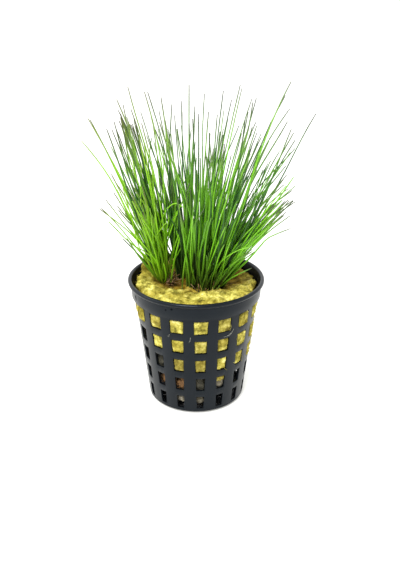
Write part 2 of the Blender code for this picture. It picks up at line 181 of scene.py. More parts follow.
# %% Pot sizes
pot_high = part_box("net_pot")[1]
RIM_RADIUS = pot_high.x
POT_HEIGHT = pot_high.z
WALL_FOOT_RADIUS = 19.82 * MM
WALL_FLARE = 0.1132
WALL_THICKNESS = 1.0 * MM
BASE_RADIUS = 18.7 * MM
FOOT_BEND = 0.9 * MM
FLOOR_THICKNESS = 1.3 * MM
COLLAR_BOTTOM = 45.6 * MM
COLLAR_FOOT_RADIUS = 26.1 * MM
COLLAR_TOP_RADIUS = 26.45 * MM
COLLAR_WALL = 1.25 * MM
LIP_WIDTH = 1.7 * MM
LIP_STEPS = 12
LIP_FIRST = -48
LIP_TURN = 21
COLUMNS = 16
FIRST_COLUMN_TURN = math.radians(4.63)
TOP_ROW = 44.15 * MM
ROW_PITCH = 8.97 * MM
ROWS = 5
WINDOW_HEIGHT = 5.95 * MM
WINDOW_HALF_WIDTH_AT_FOOT = 1.27 * MM
WINDOW_SPREAD = 0.0365
SLOT_RADII = (8.5 * MM, 16.2 * MM)
SLOT_HALF_TURN = math.radians(4.7)
STEPS = 4
EDGE_ROUNDING = 0.2 * MM
print("rim radius", round(RIM_RADIUS / MM, 2), "mm, height", round(POT_HEIGHT / MM, 2), "mm")


# %% Pot profile
def wall_radius(height):
    return WALL_FOOT_RADIUS + WALL_FLARE * height


def window_half_turn(height):
    return (WINDOW_HALF_WIDTH_AT_FOOT + WINDOW_SPREAD * height) / wall_radius(height)


def window_rows():
    """The (lower, upper) edge of each row of windows, lowest row first."""
    return [
        (TOP_ROW - ROW_PITCH * row - WINDOW_HEIGHT, TOP_ROW - ROW_PITCH * row)
        for row in reversed(range(ROWS))
    ]


def pot_rings():
    """(radius, height, half turn of a window) from under the hub, over the lip and down to the floor."""
    even = math.pi / (2 * COLUMNS)
    edges = [edge for row in window_rows() for edge in row]
    rings = [(radius, 0.0, SLOT_HALF_TURN) for radius in SLOT_RADII]
    rings += [(BASE_RADIUS, 0.0, SLOT_HALF_TURN)]
    rings += [(wall_radius(FOOT_BEND), FOOT_BEND, SLOT_HALF_TURN)]
    rings += [(wall_radius(edge), edge, window_half_turn(edge)) for edge in edges]
    rings += [
        (wall_radius(COLLAR_BOTTOM), COLLAR_BOTTOM, even),
        (COLLAR_FOOT_RADIUS, COLLAR_BOTTOM, even),
        ((COLLAR_FOOT_RADIUS + COLLAR_TOP_RADIUS) / 2, (COLLAR_BOTTOM + POT_HEIGHT - LIP_WIDTH) / 2, even),
        (COLLAR_TOP_RADIUS - 0.1 * MM, POT_HEIGHT - LIP_WIDTH - 0.5 * MM, even),
    ]
    for step in range(LIP_STEPS):
        angle = math.radians(LIP_FIRST + LIP_TURN * step)
        radius = RIM_RADIUS - LIP_WIDTH / 2 + LIP_WIDTH / 2 * math.cos(angle)
        rings.append((radius, POT_HEIGHT - LIP_WIDTH / 2 + LIP_WIDTH / 2 * math.sin(angle), even))
    rings += [
        (COLLAR_FOOT_RADIUS - COLLAR_WALL + 0.2 * MM, POT_HEIGHT - LIP_WIDTH - 0.8 * MM, even),
        (COLLAR_FOOT_RADIUS - COLLAR_WALL, COLLAR_BOTTOM + 1.2 * MM, even),
        (wall_radius(COLLAR_BOTTOM) - WALL_THICKNESS, COLLAR_BOTTOM - 0.4 * MM, even),
    ]
    rings += [(wall_radius(edge) - WALL_THICKNESS, edge, window_half_turn(edge)) for edge in reversed(edges)]
    rings += [(wall_radius(FLOOR_THICKNESS) - WALL_THICKNESS, FLOOR_THICKNESS, SLOT_HALF_TURN)]
    rings += [(radius, FLOOR_THICKNESS, SLOT_HALF_TURN) for radius in reversed(SLOT_RADII)]
    return rings


def around(radius, turn, height):
    """The point at a turn from the front of the pot, towards +X."""
    return Vector((radius * math.sin(turn), -radius * math.cos(turn), height))


def ring_turns(half):
    """Turns round the pot: each column has STEPS across its window, then STEPS across the bar."""
    turns = []
    for column in range(COLUMNS):
        middle = FIRST_COLUMN_TURN + math.tau * column / COLUMNS
        bar = math.tau / COLUMNS - 2 * half
        turns += [middle - half + 2 * half * step / STEPS for step in range(STEPS)]
        turns += [middle + half + bar * step / STEPS for step in range(STEPS)]
    return turns


# %% Pot mesh
def pot_shape():
    shape = bmesh.new()
    rings = pot_rings()
    grid = [
        [shape.verts.new(around(radius, turn, height)) for turn in ring_turns(half)]
        for radius, height, half in rings
    ]
    last = len(rings) - 1
    open_bands = {0: last - 1}
    open_bands.update({4 + 2 * row: last - 4 - 2 * row for row in range(ROWS)})
    count = 2 * STEPS * COLUMNS
    for band in range(last):
        holed = band in open_bands or band in open_bands.values()
        for step in range(count):
            if holed and step % (2 * STEPS) < STEPS:
                continue
            after = (step + 1) % count
            below, above = grid[band], grid[band + 1]
            shape.faces.new((below[step], below[after], above[after], above[step]))
    for outer, inner in open_bands.items():
        for first in range(0, count, 2 * STEPS):
            across = [(first + step) % count for step in range(STEPS + 1)]
            outside = [grid[outer][s] for s in across] + [grid[outer + 1][s] for s in reversed(across)]
            inside = [grid[inner + 1][s] for s in across] + [grid[inner][s] for s in reversed(across)]
            for corner in range(len(outside)):
                after = (corner + 1) % len(outside)
                shape.faces.new((outside[corner], outside[after], inside[after], inside[corner]))
    shape.faces.new(grid[0])
    shape.faces.new(grid[-1])
    bmesh.ops.recalc_face_normals(shape, faces=shape.faces)
    return shape


# %% [markdown]
# Polypropylene comes out of the mould with a satin skin. It is nearly black, and it shows pale soft
# reflections only where the surface turns away. Polished steel moulds leave a faint orange peel. Five
# small marks of the mould on the collar don't reflect.


# %% Pot material
MARK_RADIUS = 26.3 * MM
# Degrees from the front, height in mm and size in mm
MOULD_MARKS = (
    (-63.8, 48.8, 0.45), (-63.8, 48.1, 0.5), (-63.8, 47.4, 0.45), (-25.6, 48.8, 0.34), (-20.2, 49.5, 0.42),
)
NEARLY_BLACK = ((0.3, "#07090c"), (0.7, "#0b0e12"))


def satin_polypropylene():
    """Moulded polypropylene, satin: nearly black, with soft reflections that vary a little in sharpness."""
    made, tree, shader = new_material("satin_moulded_polypropylene")
    place = add(tree, "ShaderNodeTexCoord").outputs["Object"]
    gloss = 0.23
    for turn, height, size in MOULD_MARKS:
        spot = around(MARK_RADIUS, math.radians(turn), height * MM)
        gap = add(tree, "ShaderNodeVectorMath", {"operation": "DISTANCE"}, in0=place, in1=spot).outputs[1]
        clear = add(tree, "ShaderNodeMath", {"operation": "GREATER_THAN"}, in0=gap, in1=size * MM).outputs[0]
        gloss = add(tree, "ShaderNodeMath", {"operation": "MULTIPLY"}, in0=gloss, in1=clear).outputs[0]
    colour = add(tree, "ShaderNodeValToRGB", {"stops": NEARLY_BLACK}, Fac=grain(tree, 9 * MM)).outputs[0]
    rough = add(tree, "ShaderNodeMapRange", Value=grain(tree, 3 * MM), To_Min=0.26, To_Max=0.38)
    tree.links.new(colour, shader.inputs["Base Color"])
    tree.links.new(gloss, shader.inputs["Specular IOR Level"])
    tree.links.new(rough.outputs[0], shader.inputs["Roughness"])
    relief(tree, shader, 0.7 * MM, 0.02 * MM, 0.5, 2.0)
    shader.inputs["IOR"].default_value = 1.49
    shader.inputs["Specular Tint"].default_value = linear("#d6e6f6")
    return made


# %% Pot piece
pot = make_object("net_pot_moulding", pot_shape(), satin_polypropylene())
rounding = pot.modifiers.new("rounding", "BEVEL")
rounding.width = EDGE_ROUNDING
rounding.segments = 2
rounding.limit_method = "ANGLE"
rounding.angle_limit = math.radians(50)
apply_modifiers(pot)
pot.data.set_sharp_from_angle(angle=math.radians(40))

# %% [markdown]
# The mineral wool
#
# Mineral wool is spun rock: a springy yellow felt with lumps, torn edges and stray fibres. The packed
# plug has the right form but large facets. Rays from its heart find that form again on a much finer
# grid of rings, and noise of several sizes then makes it lumpy. In each window the wool swells out
# through the wall. At the lower left it has shrunk from the wall, which leaves those windows dark.

# %% Wool sizes
PLUG_HEART = Vector((0.0, 0.0, 34.0)) * MM
AIM_BOTTOM = 13 * MM
AIM_TOP = 50 * MM
AIM_RADIUS = 23 * MM
WOOL_TURNS = 320
WOOL_STEP = 0.42 * MM
WELD = 0.01 * MM
WOOL_OUT = 1.45 * MM
WINDOW_FUZZ = 0.04
# Heights, depths and radii in mm, and waves as (waves per mm, height in mm)
TOP_FROM = 45.5
LUMPS = ((0.2, 0.9), (0.45, 0.8))
TEARS = ((1.0, 0.3), (2.3, 0.13))
PAINTED_SHADE_BELOW = 51.2
FUZZY_FROM = 49.8
CLEAR_OF_LIP = 51.5
CLEAR_RADIUS = 24.2
HOLLOW_DEPTH = (3.6, 3.4)
# How much higher the hollow reaches, in mm, from which turn on, and over how many degrees it rises
LEFT_HOLLOW = ((28.0, -30, -4), (8.0, -52, -4), (-14.0, -116, -10))
FRONT_HOLLOW = ((-2.5, 14, 6), (4.5, 38, 5))
FRONT_HEIGHT = 17.6


def ease(value):
    value = min(1.0, max(0.0, value))
    return value * value * (3 - 2 * value)


def spans(first, last, step):
    """Values from first to last, evenly spaced at about the step."""
    count = max(1, round(abs(last - first) / step))
    return [first + (last - first) * index / count for index in range(count)]


def turn_of(point):
    """Degrees from the front of the pot, towards +X."""
    return math.degrees(math.atan2(point.x, -point.y))


# %% Wool windows
# Windows by (row from the top, column from the front): how dull and dark the wool in them is, from 0 to 1,
# partly the felt's duller colour and partly painted shade
DULL_AND_SHADED_WINDOWS = {
    (0, -2): 0.5, (0, 0): 0.1, (0, 1): 0.6, (1, 0): 0.55, (1, 1): 0.35, (2, -1): 1.0, (2, 0): 0.85,
    (3, 1): 1.0, (3, 0): 1.0, (3, -1): 1.0,
}
PROUD_COLUMNS = {3: 1.5, 4: 1.5, -3: 1.3, -4: 1.2, 2: 1.15}


def window_at(point):
    """(row from the top, column from the front, how far inside the window's edges in mm) or None."""
    turn = math.radians(turn_of(point)) - FIRST_COLUMN_TURN
    column = round(turn / (math.tau / COLUMNS))
    off = abs(turn - column * math.tau / COLUMNS) * math.hypot(point.x, point.y)
    half = WINDOW_HALF_WIDTH_AT_FOOT + WINDOW_SPREAD * point.z
    for row, (low, high) in enumerate(reversed(window_rows())):
        side = min(half - off, point.z - low, high - point.z) / MM
        if side > -0.3:
            return row, column, side
    return None


def hollow_height(turn):
    """Up to what height the wool has shrunk from the wall, in mm: high at the left, low at the front."""
    left = sum(rise * ease((turn - start) / over) for rise, start, over in LEFT_HOLLOW)
    front = sum((rise * ease((turn - start) / over) for rise, start, over in FRONT_HOLLOW), FRONT_HEIGHT)
    return max(left, front)


def bumps(place, waves):
    """Noise of several sizes, added up."""
    return sum(height * noise.noise(place * often) for often, height in waves)


# %% Wool form
def copied_shape(node):
    """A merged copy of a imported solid."""
    shape = bmesh.new()
    shape.from_mesh(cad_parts[node].data)
    bmesh.ops.remove_doubles(shape, verts=shape.verts, dist=WELD)
    return shape


packed_plug = copied_shape("rock_wool")
PLUG = BVHTree.FromBMesh(packed_plug)
packed_plug.free()


def wool_shape():
    """The plug as rings of points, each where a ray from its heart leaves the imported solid."""
    aims = [(radius, AIM_BOTTOM) for radius in spans(2 * MM, AIM_RADIUS, 1.2 * MM)]
    aims += [(AIM_RADIUS, height) for height in spans(AIM_BOTTOM, AIM_TOP, WOOL_STEP)]
    aims += [(radius, AIM_TOP) for radius in spans(AIM_RADIUS, 0.6 * MM, WOOL_STEP)]
    shape = bmesh.new()
    rings = []
    for radius, height in aims:
        ring = []
        for step in range(WOOL_TURNS):
            aim = around(radius, math.tau * step / WOOL_TURNS, height)
            ring.append(shape.verts.new(PLUG.ray_cast(PLUG_HEART, (aim - PLUG_HEART).normalized())[0]))
        rings.append(ring)
    for low, high in zip(rings, rings[1:]):
        for step in range(WOOL_TURNS):
            after = (step + 1) % WOOL_TURNS
            shape.faces.new((low[step], low[after], high[after], high[step]))
    shape.faces.new(rings[0])
    shape.faces.new(rings[-1])
    bmesh.ops.recalc_face_normals(shape, faces=shape.faces)
    return shape


def shake_wool(mesh):
    """Moves the skin: lumps, swelling windows, the hollow at the left. Notes fuzzy places, dull and shaded
    windows, and low places that get painted shade.
    """
    vents = random.Random(5)
    columns = range(-COLUMNS // 2, COLUMNS // 2 + 1)
    swell = {(row, column): vents.uniform(0.75, 1.1) for row in range(ROWS) for column in columns}
    fuzz, dull, low = ([0.0] * len(mesh.vertices) for _ in range(3))
    normals = [vert.normal.copy() for vert in mesh.vertices]
    for vert, normal in zip(mesh.vertices, normals):
        place = vert.co / MM
        top = ease((place.z - TOP_FROM) / 2.5)
        rough = (0.2 + 0.8 * top) * bumps(place, LUMPS) + (0.35 + 0.65 * top) * bumps(place, TEARS)
        move = min(rough, 0.25 + 2 * top)
        out = Vector((place.x, place.y, 0)).normalized()
        clear = (CLEAR_RADIUS - math.hypot(place.x, place.y)) / 0.8 + place.z - CLEAR_OF_LIP
        fuzz[vert.index] = ease((place.z - FUZZY_FROM) / 0.8) * ease(clear)
        # Painted shade: the top of the plug is marked to turn darker where it lies low, in the trough under
        # the culms.
        low[vert.index] = ease((PAINTED_SHADE_BELOW - place.z) / 2.6) * top
        shrunk = ease((hollow_height(turn_of(place)) - place.z) / 1.6) * (1 - top)
        window = window_at(vert.co)
        if window and not top:
            row, column, side = window
            filled = ease((side + 0.25) / 0.8) * swell[row, column] * PROUD_COLUMNS.get(column, 1.0)
            vert.co += out * (WOOL_OUT * filled * (1 - shrunk))
            move += 0.35 * noise.noise(place * 1.6)
            fuzz[vert.index] = WINDOW_FUZZ * (1.0 - shrunk)
            dull[vert.index] = DULL_AND_SHADED_WINDOWS.get((row, column), 0.1)
        deep = HOLLOW_DEPTH[0] + HOLLOW_DEPTH[1] * ease((-52 - turn_of(place)) / 8)
        vert.co += normal * (move * MM) - out * (deep * MM * shrunk)
    for label, values in (("fuzz", fuzz), ("dull", dull), ("low", low)):
        mesh.attributes.new(label, "FLOAT", "POINT").data.foreach_set("value", values)
    mesh.update()


# %% [markdown]
# The felt is rock fibre in a thin yellow resin. It has hardly any gloss, so colour makes its look: lemon
# yellow on the lumps, olive in the hollows, both from one noise as coarse as the real lumps. That mottle is
# partly the felt's own colour and partly painted highlight and painted shade. The values noted on the skin
# paint shade on the wool where it lies low, in the trough under the culms, and make it duller and darker in
# some windows, partly with painted shade. Single fibres are too fine to show, so the relief is coarser than
# they are.

# %% Wool material
LEMON_FELT = ((0.31, "#4f4a18"), (0.42, "#867e30"), (0.50, "#aca248"), (0.59, "#cfc566"), (0.72, "#f3ecae"))
UNEVEN = ((0.4, "#c3b878"), (0.58, "#ffffff"))
DULL_AND_SHADED_FELT = ((0.35, "#54471a"), (0.5, "#7e722c"), (0.68, "#afa35a"))
# Place and size in mm of the spots where roots have stained the wool
WOOL_STAINS = (
    ((-10.2, -1.0, 50.0), 4.2), ((-6.5, 1.0, 50.0), 4.0), ((21.6, 2.0, 50.0), 3.2), ((3.5, -4.0, 49.5), 4.5),
)


def spun_mineral_wool():
    """Resin-bound rock fibre, spun and felted: lemon yellow lumps and olive hollows, partly painted highlight
    and painted shade; hardly any gloss.
    """
    made, tree, shader = new_material("spun_mineral_wool")
    place = add(tree, "ShaderNodeTexCoord").outputs["Object"]
    low, dull = (
        add(tree, "ShaderNodeAttribute", {"attribute_name": name}).outputs["Fac"] for name in ("low", "dull")
    )
    # Painted highlight and shade: the mottle from lemon to olive is partly the felt's own colour, partly
    # painted light on lumps and shade in hollows.
    lumps = grain(tree, 3.2 * MM, 7.0, Roughness=0.66)
    colour, broad, dull_and_shaded_felt = (
        add(tree, "ShaderNodeValToRGB", {"stops": stops}, Fac=factor).outputs[0]
        for stops, factor in ((LEMON_FELT, lumps), (UNEVEN, grain(tree, 10 * MM, 2.0)), (DULL_AND_SHADED_FELT, lumps))
    )
    colour = add(tree, "ShaderNodeMix", TINT, in0=0.7, in6=colour, in7=broad).outputs[2]
    # Painted shade: where the wool lies low, in the trough under the culms, it is tinted darker and browner.
    brown = add(tree, "ShaderNodeMix", TINT, in0=1.0, in6=colour, in7=linear("#b49c54")).outputs[2]
    # In the dull windows the felt turns darker olive: partly its duller colour, partly painted shade.
    for share, layer in ((low, brown), (dull, dull_and_shaded_felt)):
        colour = add(tree, "ShaderNodeMix", BLEND, in0=share, in6=colour, in7=layer).outputs[2]
    patchy = grain(tree, 1.6 * MM, 3.0)
    for spot, size in WOOL_STAINS:
        gap = add(tree, "ShaderNodeVectorMath", {"operation": "DISTANCE"}, in0=place, in1=Vector(spot) * MM)
        near = add(
            tree, "ShaderNodeMapRange", Value=gap.outputs[1],
            From_Min=size * 0.4 * MM, From_Max=size * MM, To_Min=1.425, To_Max=0.0,
        ).outputs[0]
        blot = add(tree, "ShaderNodeMath", {"operation": "MULTIPLY", "use_clamp": True}, in0=near, in1=patchy)
        blot = blot.outputs[0]
        colour = add(tree, "ShaderNodeMix", BLEND, in0=blot, in6=colour, in7=linear("#4a3410")).outputs[2]
    tree.links.new(colour, shader.inputs["Base Color"])
    relief(tree, shader, 0.55 * MM, 0.22 * MM, 0.6, 6.0, Roughness=0.7)
    shader.inputs["Roughness"].default_value = 0.95
    shader.inputs["Specular IOR Level"].default_value = 0.15
    return made


# %% [markdown]
# Stray fibres stand out of the felt wherever it was cut or torn. A Geometry Nodes tree scatters points
# where the skin is marked as fuzzy, lays one small bent fibre on each at a random turn, and joins them
# to the skin.


# %% Trees with named inputs
def new_tree(name, **inputs):
    """A Geometry Nodes tree with geometry in and out, and a named input of a given kind for each value."""
    tree = bpy.data.node_groups.new(name, "GeometryNodeTree")
    tree.interface.new_socket("Geometry", in_out="INPUT", socket_type="NodeSocketGeometry")
    for label, kind in inputs.items():
        tree.interface.new_socket(label, in_out="INPUT", socket_type="NodeSocket" + kind)
    tree.interface.new_socket("Geometry", in_out="OUTPUT", socket_type="NodeSocketGeometry")
    return tree, add(tree, "NodeGroupInput").outputs


def set_inputs(modifier, **values):
    """Sets a tree's named inputs by the identifiers of their sockets."""
    for item in modifier.node_group.interface.items_tree:
        if item.in_out == "INPUT" and item.name in values:
            modifier[item.identifier] = values[item.name]


# %% Fuzz tree
def fuzz_tree():
    tree, given = new_tree(
        "scatter_fuzz", Density="Float", Thickness="Float", Length="Float", Seed="Int", Material="Material"
    )
    marked = add(tree, "GeometryNodeInputNamedAttribute", {"data_type": "FLOAT"}, Name="fuzz").outputs[0]
    dense = add(tree, "ShaderNodeMath", {"operation": "MULTIPLY"}, in0=marked, in1=given["Density"])
    points = add(
        tree, "GeometryNodeDistributePointsOnFaces",
        Mesh=given["Geometry"], Density=dense.outputs[0], Seed=given["Seed"],
    )
    bent = add(
        tree, "GeometryNodeCurveQuadraticBezier",
        Resolution=4, Start=(0.0, 0.0, -0.1), Middle=(0.25, 0.0, 0.42), End=(1.0, 0.1, 0.3),
    )
    longer = add(tree, "ShaderNodeCombineXYZ", X=given["Length"], Y=given["Length"], Z=given["Length"])
    grown = add(tree, "GeometryNodeTransform", Geometry=bent.outputs[0], Scale=longer.outputs[0])
    ring = add(tree, "GeometryNodeCurvePrimitiveCircle", Resolution=3, Radius=given["Thickness"])
    fibre = add(
        tree, "GeometryNodeCurveToMesh", Curve=grown.outputs[0], Profile_Curve=ring.outputs[0],
        Fill_Caps=True,
    )
    spin = add(
        tree, "FunctionNodeRandomValue", {"data_type": "FLOAT_VECTOR"},
        in1=(0.5, 0.5, math.tau), Seed=given["Seed"],
    )
    turned = add(
        tree, "FunctionNodeRotateRotation", {"rotation_space": "LOCAL"},
        Rotation=points.outputs["Rotation"],
        Rotate_By=add(tree, "FunctionNodeEulerToRotation", Euler=spin.outputs[0]).outputs[0],
    )
    size = add(tree, "FunctionNodeRandomValue", {"data_type": "FLOAT"}, in2=0.5, in3=1.4, Seed=given["Seed"])
    laid = add(
        tree, "GeometryNodeInstanceOnPoints", Points=points.outputs["Points"], Instance=fibre.outputs[0],
        Rotation=turned.outputs[0], Scale=size.outputs[1],
    )
    real = add(tree, "GeometryNodeRealizeInstances", Geometry=laid.outputs[0])
    both = add(tree, "GeometryNodeJoinGeometry", Geometry=real.outputs[0])
    tree.links.new(given["Geometry"], both.inputs[0])
    painted = add(tree, "GeometryNodeSetMaterial", Geometry=both.outputs[0], Material=given["Material"])
    add(tree, "NodeGroupOutput", in0=painted.outputs[0])
    return tree


# %% Wool piece
wool = make_object("mineral_wool", wool_shape(), spun_mineral_wool())
shake_wool(wool.data)
fuzz = wool.modifiers.new("fuzz", "NODES")
fuzz.node_group = fuzz_tree()
set_inputs(
    fuzz, Density=0.5 / MM ** 2, Thickness=0.05 * MM, Length=2.4 * MM, Seed=3, Material=wool.data.materials[0]
)
apply_modifiers(wool)

# %% [markdown]
# One sweep for everything thin
#
# Culms, dead sheaths, roots and wisps are all the same idea: a line with a thickness. So one Geometry
# Nodes tree sweeps a circle along every line of a mesh. Each point of a line carries its own radius
# and the values that the materials read, and these go through the sweep on their own.


# %% Sweep tree
def sweep_tree():
    tree, given = new_tree("sweep_lines", Thickness="Float", Sides="Int", Material="Material")
    lines = add(tree, "GeometryNodeMeshToCurve", in0=given["Geometry"])
    radius = add(tree, "GeometryNodeInputNamedAttribute", {"data_type": "FLOAT"}, Name="radius_m").outputs[0]
    scaled = add(tree, "ShaderNodeMath", {"operation": "MULTIPLY"}, in0=radius, in1=given["Thickness"])
    ring = add(tree, "GeometryNodeCurvePrimitiveCircle", Resolution=given["Sides"], Radius=1.0)
    skin = add(
        tree, "GeometryNodeCurveToMesh", Curve=lines.outputs[0], Profile_Curve=ring.outputs[0],
        Scale=scaled.outputs[0], Fill_Caps=True,
    )
    smooth = add(tree, "GeometryNodeSetShadeSmooth", Geometry=skin.outputs[0])
    real = add(tree, "GeometryNodeRealizeInstances", Geometry=smooth.outputs[0])
    painted = add(tree, "GeometryNodeSetMaterial", Geometry=real.outputs[0], Material=given["Material"])
    add(tree, "NodeGroupOutput", in0=painted.outputs[0])
    return tree


SWEEP = sweep_tree()


def sweep(name, lines, material, sides=6, thickness=1.0):
    """One plain mesh from lines, each a list of (point, radius, along) with its own tone and age."""
    points, edges, radii, alongs, tones, ages = [], [], [], [], [], []
    for line, tone, age in lines:
        edges += [(len(points) + step, len(points) + step + 1) for step in range(len(line) - 1)]
        for point, radius, along in line:
            points.append(point)
            radii.append(radius)
            alongs.append(along)
            tones.append(tone)
            ages.append(age)
    mesh = bpy.data.meshes.new(name)
    mesh.from_pydata(points, edges, [])
    for label, values in (("radius_m", radii), ("along", alongs), ("tone", tones), ("age", ages)):
        mesh.attributes.new(label, "FLOAT", "POINT").data.foreach_set("value", values)
    piece = bpy.data.objects.new(name, mesh)
    bpy.context.scene.collection.objects.link(piece)
    skin = piece.modifiers.new("sweep", "NODES")
    skin.node_group = SWEEP
    set_inputs(skin, Thickness=thickness, Sides=sides, Material=material)
    return apply_modifiers(piece)


# %% [markdown]
# The culms
#
# Dwarf hairgrass has no leaf blades: each green hair is a round stem, a culm, under a millimetre thick.
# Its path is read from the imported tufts. A tip is the only point of a tuft with three neighbours, and
# from there the rings lead back down to the crown. Finer culms are then added between these.

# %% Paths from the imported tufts
TUFTS = sorted(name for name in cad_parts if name.startswith("tuft_"))


def middle_of(verts):
    return sum((vert.co for vert in verts), Vector()) / len(verts)


def beside(verts):
    return {edge.other_vert(vert) for vert in verts for edge in vert.link_edges}


def culm_paths(node):
    """(root, knee, tip) of each culm of a packed tuft, which is a curve with one knee."""
    shape = copied_shape(node)
    paths = []
    for vert in shape.verts:
        upper = beside([vert])
        if len(upper) != 3 or len(vert.link_faces) != 3:
            continue
        lower = beside(upper) - upper - {vert}
        seat = beside(lower) - lower - upper
        if len(lower) != 3 or len(seat) != 3:
            continue
        root, third, tip = middle_of(seat), middle_of(lower), vert.co.copy()
        knee = (third - root * (4 / 9) - tip * (1 / 9)) * (9 / 4)
        paths.append((root, knee, tip))
    shape.free()
    return paths


paths_of = {name: culm_paths(name) for name in TUFTS}
print(len(TUFTS), "tufts with", sum(map(len, paths_of.values())), "culms in the packed model")

# %% Culm lines
CULM_RADIUS = 0.44 * MM
TIP_RADIUS = 0.16 * MM
THINNEST = 0.22 * MM
CULM_STEPS = 18
USUAL_LENGTH = 60 * MM
WAVE = (0.3, 2.8)
KINK = (1.0, 3.5)
KINK_FROM = 0.8
KINK_CHANCE = 0.12
rng = random.Random(23)


def culm_line(path, girth, ripe=1.0):
    """Points along a culm: the bent path with a slight wave. A riper one has a greyer tip."""
    root, knee, tip = path
    length = (tip - root).length
    side = (tip - root).cross(Vector((rng.gauss(0, 1), rng.gauss(0, 1), 0.3))).normalized()
    wave, phase = rng.uniform(*WAVE) * MM * length / USUAL_LENGTH, rng.uniform(0, math.tau)
    kink = rng.uniform(*KINK) * MM if rng.random() < KINK_CHANCE else 0.0
    line = []
    for step in range(CULM_STEPS):
        t = step / (CULM_STEPS - 1)
        point = root * (1 - t) ** 2 + knee * (2 * t * (1 - t)) + tip * t * t
        sway = wave * math.sin(phase + 4 * t) * math.sin(math.pi * t)
        point += side * (sway + kink * max(0.0, t - KINK_FROM) / (1 - KINK_FROM))
        stem = (0.8 + 0.2 * ease(t / 0.15)) * (1 - 0.5 * ease((t - 0.25) / 0.75))
        radius = max(THINNEST, girth * stem) * ease((1.03 - t) / 0.09)
        line.append((point, max(TIP_RADIUS, radius), t * ripe))
    return line


# %% [markdown]
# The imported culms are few. The real plant has finer ones between them, in three clumps, and some sheaves
# and single culms that go their own way. They are drawn at random inside the outline of the packed
# tufts, so the plant keeps its size.

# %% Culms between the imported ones
FAN_CENTRE = (-1.6, 2.4)
FAN_GAIN = 0.034
STRAY = 0.13
WILD_STRAY = 0.34
WILD_SHARE = 0.3
# Where finer culms stand, in mm, how many, how fresh their green is, and the point that packed culms' roots
# gather at, with the share of their distance that stays
STANDS = {
    "left": {
        "centre": (-14.2, 4.6), "radii": (3.0, 2.8), "fine": 46, "light": 0.62, "gather": (-14.4, 5.6, 0.4),
    },
    "middle": {
        "centre": (-3.0, 9.6), "radii": (7.4, 4.6), "fine": 30, "light": 0.3, "gather": (-3.0, 9.6, 1.0),
    },
    "right": {
        "centre": (4.0, -0.8), "radii": (7.6, 7.6), "fine": 70, "light": 0.4, "gather": (4.0, -0.8, 0.95),
    },
}
# The plume's outline in mm: half widths, top and fall of its dome, and a waist with sides that lean out
PLUME_HALF = (42, 30)
PLUME_TOP = 122
PLUME_FALL = 0.0075
WAIST = 19
WAIST_HEIGHT = 65
SIDE_LEAN = (0.42, 0.62)
# Sheaves that lean together: stand, place of the roots, place and spread of the tips in mm, count, tone
SHEAVES = (
    ("left", (-11.0, 4.5), (-26.8, 6.0, 114.0), 3.0, 14, 0.0),
    ("left", (-15.5, 4.0), (-30.0, -8.0, 84.0), 5.0, 8, 0.9),
    ("left", (-14.2, 4.0), (-22.0, -14.0, 92.0), 6.0, 9, 0.9),
    ("left", (-12.6, 4.0), (-2.0, -8.0, 84.0), 4.0, 4, 1.0),
    ("middle", (-6.5, 7.0), (-11.0, 8.0, 88.0), 4.5, 12, 0.1),
    ("right", (8.0, -3.0), (32.4, -10.5, 84.6), 1.9, 16, 0.9),
    ("right", (9.0, -1.0), (36.5, -9.0, 87.0), 1.2, 3, 0.6),
    ("right", (8.0, -4.5), (21.0, -15.0, 69.0), 2.5, 4, 0.9),
    ("right", (8.0, -1.0), (33.0, -6.0, 94.0), 4.0, 6, 0.8),
    ("right", (3.0, -3.0), (9.0, -6.0, 106.0), 5.0, 10, 1.0),
    ("right", (5.0, 1.0), (21.0, 2.0, 108.0), 4.0, 8, 0.2),
    ("right", (-2.5, -4.0), (-6.0, -16.0, 88.0), 6.0, 7, 0.6),
)
# Single culms that arch over: stand, place of the root, then the bend and the tip in mm
ARCHED = (
    ("left", (-14.6, 3.0), (-17.0, -8.0, 90.0), (-3.0, -10.0, 86.0)),
    ("left", (-16.0, 3.0), (-19.0, -6.0, 74.0), (-9.0, -13.0, 80.0)),
    ("left", (-12.6, 2.2), (-19.5, -1.0, 56.0), (-27.0, -9.0, 92.0)),
    ("left", (-13.4, 2.6), (-19.5, 1.0, 58.0), (-22.0, -4.0, 100.0)),
    ("left", (-12.0, 2.2), (-15.5, -3.0, 58.0), (-15.0, -14.0, 86.0)),
    ("right", (4.0, -6.0), (9.0, -15.0, 70.0), (20.0, -16.0, 71.0)),
    ("right", (1.0, -5.0), (-4.0, -14.0, 66.0), (-1.0, -18.0, 84.0)),
)


def on_wool(x, y):
    """The point of the plug's top under a place given in mm."""
    return PLUG.ray_cast(Vector((x * MM, y * MM, 0.07)), Vector((0, 0, -1)))[0]


def gathered(root, stand):
    """The root of a packed culm, drawn in towards the foot of its stand."""
    x, y, share = stand["gather"]
    return on_wool(x + (root.x / MM - x) * share, y + (root.y / MM - y) * share)


def in_plume(tip):
    """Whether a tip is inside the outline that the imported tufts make: an ellipse under a dome."""
    x, y, z = tip / MM
    away = math.hypot(x - FAN_CENTRE[0], y - FAN_CENTRE[1])
    left, right = (WAIST + lean * (z - WAIST_HEIGHT) for lean in SIDE_LEAN)
    under = z < PLUME_TOP - PLUME_FALL * away ** 2
    return -left < x < right and under and math.hypot(x / PLUME_HALF[0], y / PLUME_HALF[1]) < 1


def bowed(root, tip):
    """The path between two points, steeper at its root and hanging over a little at its tip."""
    lean = tip - root
    steep = Vector((lean.x * rng.uniform(0.55, 0.9), lean.y * rng.uniform(0.55, 0.9), lean.z))
    return root, root + steep * rng.uniform(0.4, 0.6), tip


